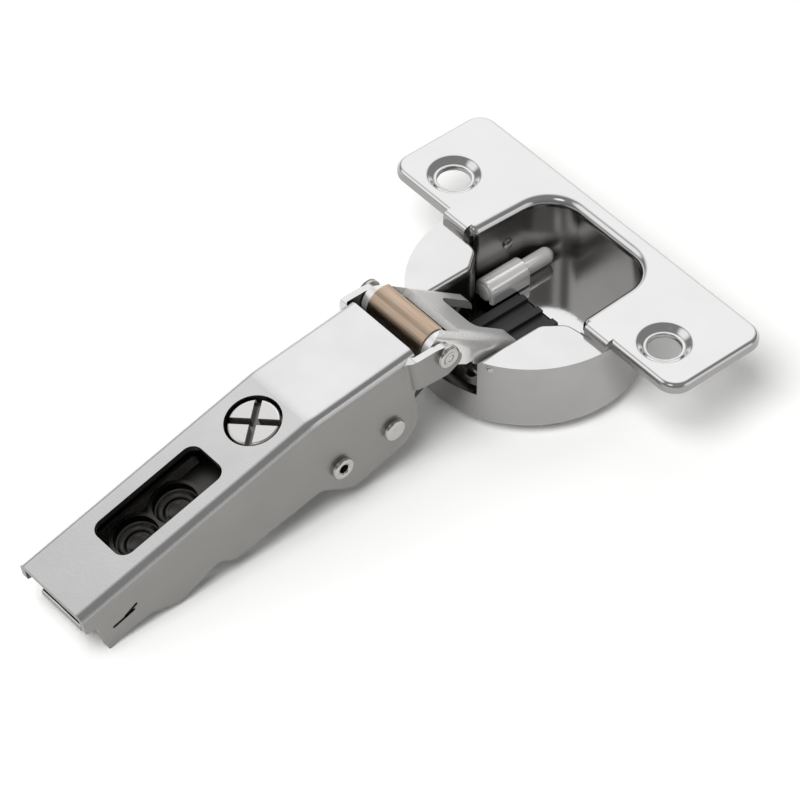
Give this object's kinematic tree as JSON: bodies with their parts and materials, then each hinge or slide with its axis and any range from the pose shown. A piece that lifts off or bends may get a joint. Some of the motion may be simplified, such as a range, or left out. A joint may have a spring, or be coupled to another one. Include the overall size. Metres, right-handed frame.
{
  "type": "concealed cup hinge",
  "caption": "Concealed cabinet hinge: flanged cup with soft-close dampers, folded links and a clip-on arm that swings the door open and shut.",
  "frame": {"origin": "on the cup's axis, level with the underside of the flange, where the door's face lies", "axes": "+Z out of the door's face; +X from the arm's tail towards the cup; +Y along the line of the flange's screw holes; stored with the door fully open"},
  "size_m": [0.1025, 0.061, 0.022],
  "materials": {
    "nickel_plate": "bright nickel plate",
    "plated_casting": "satin nickel on die-cast zinc",
    "bright_steel": "polished",
    "spring_steel": "oil-tempered bronze brown",
    "white_bush": "smooth",
    "black_plastic": "moulded"
  },
  "bodies": {
    "cup": {"cup_flange": "nickel_plate", "cup_body": "plated_casting", "outer_link_axle_left": "bright_steel", "outer_link_axle_right": "bright_steel", "inner_link_axle": "bright_steel", "damper_insert": "black_plastic", "damper_rod_left": "bright_steel", "damper_rod_right": "bright_steel"},
    "outer_link": {"outer_link": "nickel_plate"},
    "inner_link": {"inner_link": "plated_casting"},
    "arm": {"arm_shell": "nickel_plate", "front_pin": "bright_steel", "rear_pin": "bright_steel", "carriage_pin": "bright_steel", "spring_bush": "white_bush", "closing_spring": "spring_steel"},
    "side_screw": {"side_screw": "bright_steel", "screw_collar": "bright_steel"},
    "carriage": {"carriage": "nickel_plate", "catch_pin": "bright_steel", "catch_spring": "spring_steel"},
    "release_catch": {"release_catch": "nickel_plate"},
    "damper_hood_left": {"damper_hood_left": "nickel_plate"},
    "damper_hood_right": {"damper_hood_right": "nickel_plate"}
  },
  "joints": [
    {"name": "outer_link_swing", "type": "hinge", "parent": "cup", "child": "outer_link", "pos_m": [-0.0098, 0, -0.0034], "axis": [0, 1, 0], "range_deg": [0, 140.4]},
    {"name": "arm_swing", "type": "hinge", "parent": "outer_link", "child": "arm", "pos_m": [-0.0221, 0, 0.0059], "axis": [0, 1, 0], "range_deg": [-40.5, 0]},
    {"name": "inner_link_swing", "type": "hinge", "parent": "cup", "child": "inner_link", "pos_m": [-0.0139, 0, -0.0038], "axis": [0, 1, 0], "range_deg": [0, 135.8]},
    {"name": "screw_turn", "type": "hinge", "parent": "arm", "child": "side_screw", "pos_m": [-0.04967, 0, 0.00488], "axis": [-0.2606, 0, 0.9654], "range_deg": [-100, 100]},
    {"name": "carriage_tilt", "type": "hinge", "parent": "arm", "child": "carriage", "pos_m": [-0.04008, 0, -0.00499], "axis": [0, 1, 0], "range_deg": [-1.45, 1.45]},
    {"name": "catch_press", "type": "hinge", "parent": "carriage", "child": "release_catch", "pos_m": [-0.07687, 0, -0.00944], "axis": [0, 1, 0], "range_deg": [0, 12], "stiffness_Nm_per_rad": 0.02, "springref_deg": -5.73},
    {"name": "damper_left", "type": "slide", "parent": "cup", "child": "damper_hood_left", "axis": [1, 0, 0], "range_m": [0, 0.0027], "stiffness_N_per_m": 100, "springref_m": -0.001},
    {"name": "damper_right", "type": "slide", "parent": "cup", "child": "damper_hood_right", "axis": [1, 0, 0], "range_m": [0, 0.0027], "stiffness_N_per_m": 100, "springref_m": -0.001}
  ],
  "couplings": [
    {"joint": "arm_swing", "follows": "outer_link_swing", "ratio": -0.288},
    {"joint": "inner_link_swing", "follows": "outer_link_swing", "ratio": 0.96668},
    {"joint": "screw_turn", "follows": "carriage_tilt", "ratio": 62}
  ]
}
